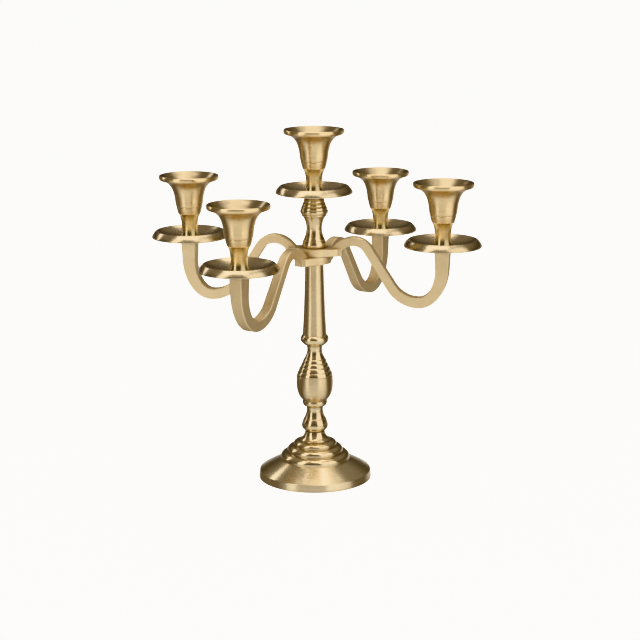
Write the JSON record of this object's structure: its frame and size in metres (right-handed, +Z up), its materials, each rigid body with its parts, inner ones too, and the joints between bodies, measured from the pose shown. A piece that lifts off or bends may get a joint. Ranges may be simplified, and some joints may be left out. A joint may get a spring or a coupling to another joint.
{
  "type": "candelabra",
  "caption": "Tabletop candelabra with S-shaped arms, a raised centre light, flared candle cups over drip pans, a turned stem and a stepped round foot.",
  "frame": {"origin": "centre of the foot's underside, on the surface it stands on", "axes": "+Z up along the column's axis; +X along the upper arm pair towards its right-hand light; the lower arm pair is turned 70 degrees from it"},
  "size_m": [0.3556, 0.3388, 0.378],
  "materials": {
    "satin_brass": "satin, turned on a lathe, with fine brush lines round the axis",
    "polished_brass": "polished, with sharp dark and light reflections",
    "pan_brass": "satin to polished, spun, with a bright turned-over lip",
    "cast_brass": "matt satin casting with softened edges",
    "steel": "plain zinc-plated screws, hidden inside"
  },
  "bodies": {
    "stand": {"foot": "satin_brass", "stem_vase": "polished_brass", "stem_bulb": "satin_brass", "stem_column": "satin_brass", "tie_rod": "steel", "tie_washer": "steel", "tie_nut": "steel"},
    "lower_arms": {"lower_arm_pair": "cast_brass", "pan_back": "pan_brass", "pan_front": "pan_brass"},
    "upper_arms": {"upper_arm_pair": "cast_brass", "pan_right": "pan_brass", "pan_left": "pan_brass"},
    "clamp_screw": {"clamp_stud": "steel"},
    "baluster": {"upper_baluster": "polished_brass", "pan_centre": "pan_brass"},
    "screw_centre": {"cup_stud_centre": "steel"},
    "light_centre": {"cup_centre": "satin_brass"},
    "screw_right": {"cup_stud_right": "steel"},
    "light_right": {"cup_right": "satin_brass"},
    "screw_left": {"cup_stud_left": "steel"},
    "light_left": {"cup_left": "satin_brass"},
    "screw_back": {"cup_stud_back": "steel"},
    "light_back": {"cup_back": "satin_brass"},
    "screw_front": {"cup_stud_front": "steel"},
    "light_front": {"cup_front": "satin_brass"}
  },
  "joints": [
    {"name": "lower_arms_swivel", "type": "hinge", "parent": "stand", "child": "lower_arms", "pos_m": [0, 0, 0.2406], "axis": [0, 0, 1], "continuous": true},
    {"name": "upper_arms_swivel", "type": "hinge", "parent": "lower_arms", "child": "upper_arms", "pos_m": [0, 0, 0.2489], "axis": [0, 0, 1], "range_deg": [-58, 18]},
    {"name": "clamp_stud_lift", "type": "slide", "parent": "stand", "child": "clamp_screw", "axis": [0, 0, 1], "range_m": [0, 0.0251]},
    {"name": "baluster_turn", "type": "hinge", "parent": "clamp_screw", "child": "baluster", "pos_m": [0, 0, 0.2532], "axis": [0, 0, 1], "range_deg": [0, 7200]},
    {"name": "cup_stud_lift_centre", "type": "slide", "parent": "baluster", "child": "screw_centre", "axis": [0, 0, 1], "range_m": [0, 0.0151]},
    {"name": "cup_turn_centre", "type": "hinge", "parent": "screw_centre", "child": "light_centre", "pos_m": [0, 0, 0.3116], "axis": [0, 0, 1], "range_deg": [0, 5400]},
    {"name": "cup_stud_lift_right", "type": "slide", "parent": "upper_arms", "child": "screw_right", "axis": [0, 0, 1], "range_m": [0, 0.0151]},
    {"name": "cup_turn_right", "type": "hinge", "parent": "screw_right", "child": "light_right", "pos_m": [0.137, 0, 0.2596], "axis": [0, 0, 1], "range_deg": [0, 5400]},
    {"name": "cup_stud_lift_left", "type": "slide", "parent": "upper_arms", "child": "screw_left", "axis": [0, 0, 1], "range_m": [0, 0.0151]},
    {"name": "cup_turn_left", "type": "hinge", "parent": "screw_left", "child": "light_left", "pos_m": [-0.137, 0, 0.2596], "axis": [0, 0, 1], "range_deg": [0, 5400]},
    {"name": "cup_stud_lift_back", "type": "slide", "parent": "lower_arms", "child": "screw_back", "axis": [0, 0, 1], "range_m": [0, 0.0151]},
    {"name": "cup_turn_back", "type": "hinge", "parent": "screw_back", "child": "light_back", "pos_m": [0.04686, 0.12874, 0.2513], "axis": [0, 0, 1], "range_deg": [0, 5400]},
    {"name": "cup_stud_lift_front", "type": "slide", "parent": "lower_arms", "child": "screw_front", "axis": [0, 0, 1], "range_m": [0, 0.0151]},
    {"name": "cup_turn_front", "type": "hinge", "parent": "screw_front", "child": "light_front", "pos_m": [-0.04686, -0.12874, 0.2513], "axis": [0, 0, 1], "range_deg": [0, 5400]}
  ],
  "couplings": [
    {"joint": "clamp_stud_lift", "follows": "baluster_turn", "m_per_rad": 0.00019894},
    {"joint": "cup_stud_lift_centre", "follows": "cup_turn_centre", "m_per_rad": 0.00015915},
    {"joint": "cup_stud_lift_right", "follows": "cup_turn_right", "m_per_rad": 0.00015915},
    {"joint": "cup_stud_lift_left", "follows": "cup_turn_left", "m_per_rad": 0.00015915},
    {"joint": "cup_stud_lift_back", "follows": "cup_turn_back", "m_per_rad": 0.00015915},
    {"joint": "cup_stud_lift_front", "follows": "cup_turn_front", "m_per_rad": 0.00015915}
  ]
}
